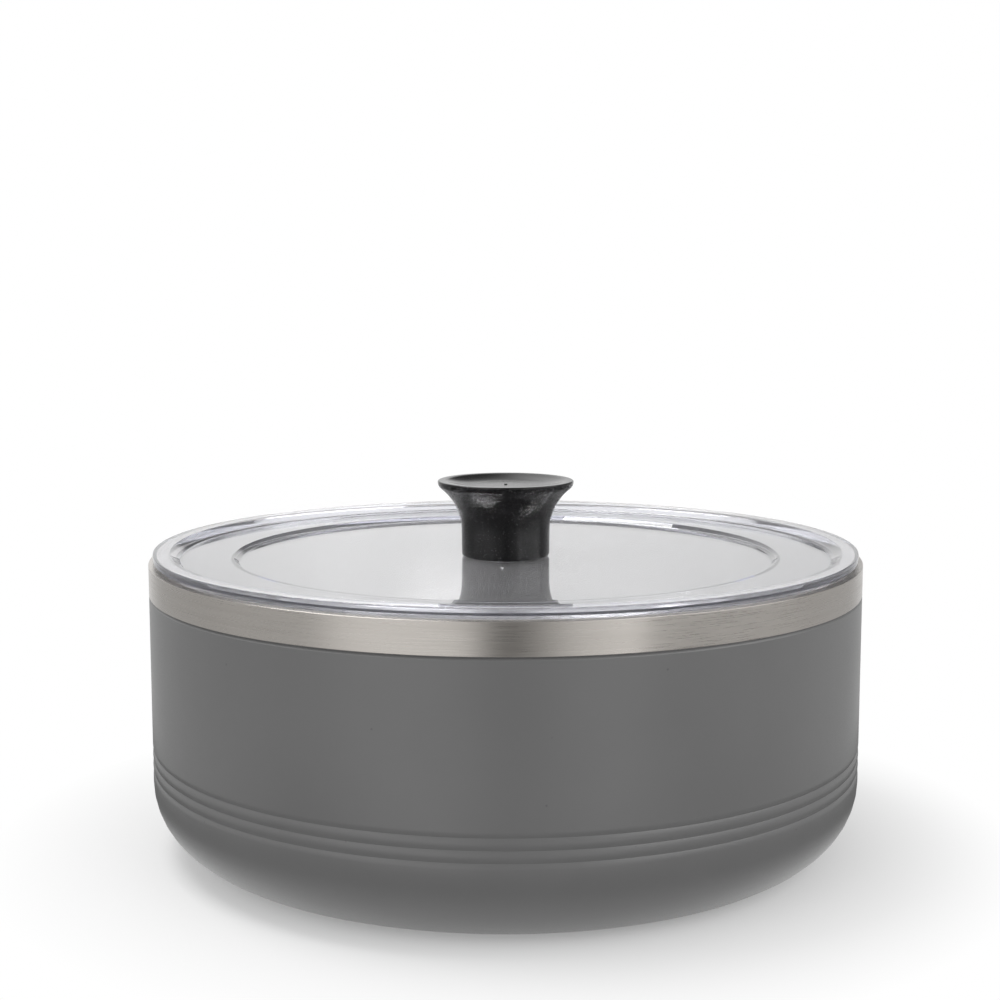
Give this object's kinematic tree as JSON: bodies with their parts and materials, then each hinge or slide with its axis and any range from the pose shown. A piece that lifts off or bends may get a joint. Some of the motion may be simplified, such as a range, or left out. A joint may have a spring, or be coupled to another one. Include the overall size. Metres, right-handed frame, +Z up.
{
  "type": "lidded serving bowl",
  "caption": "Round double-walled steel serving bowl with a coated wall, bare steel rim band, rolled grooves near the foot, and a clear stepped lift-off lid with a flared knob.",
  "frame": {"origin": "middle of the foot ring, on the surface that the bowl stands on", "axes": "+Z up along the bowl's axis; the bowl is round, so +X and +Y are free, and the pictured front faces -Y"},
  "size_m": [0.26, 0.26, 0.1323],
  "materials": {
    "coated_steel": "matte powder coat",
    "bare_steel": "satin, brushed round the rim",
    "clear_plastic": "clear, polished",
    "black_plastic": "soft matte",
    "foil": "bright foil",
    "getter_alloy": "pressed powder, dull",
    "solder_glass": "fused",
    "brass": "turned",
    "silicone": "matte, slightly milky"
  },
  "bodies": {
    "bowl": {"outer_shell": "coated_steel", "inner_liner": "bare_steel", "seal_bead": "solder_glass", "base_cover": "bare_steel", "wall_foil": "foil", "floor_foil": "foil", "getter": "getter_alloy", "getter_clip": "bare_steel"},
    "lid": {"lid_panel": "clear_plastic", "knob": "black_plastic", "knob_insert": "brass", "knob_screw": "bare_steel", "knob_washer": "bare_steel", "knob_seal": "silicone"}
  },
  "joints": [
    {"name": "lid_lift", "type": "slide", "parent": "bowl", "child": "lid", "axis": [0, 0, 1], "range_m": [0, 0.12]}
  ]
}
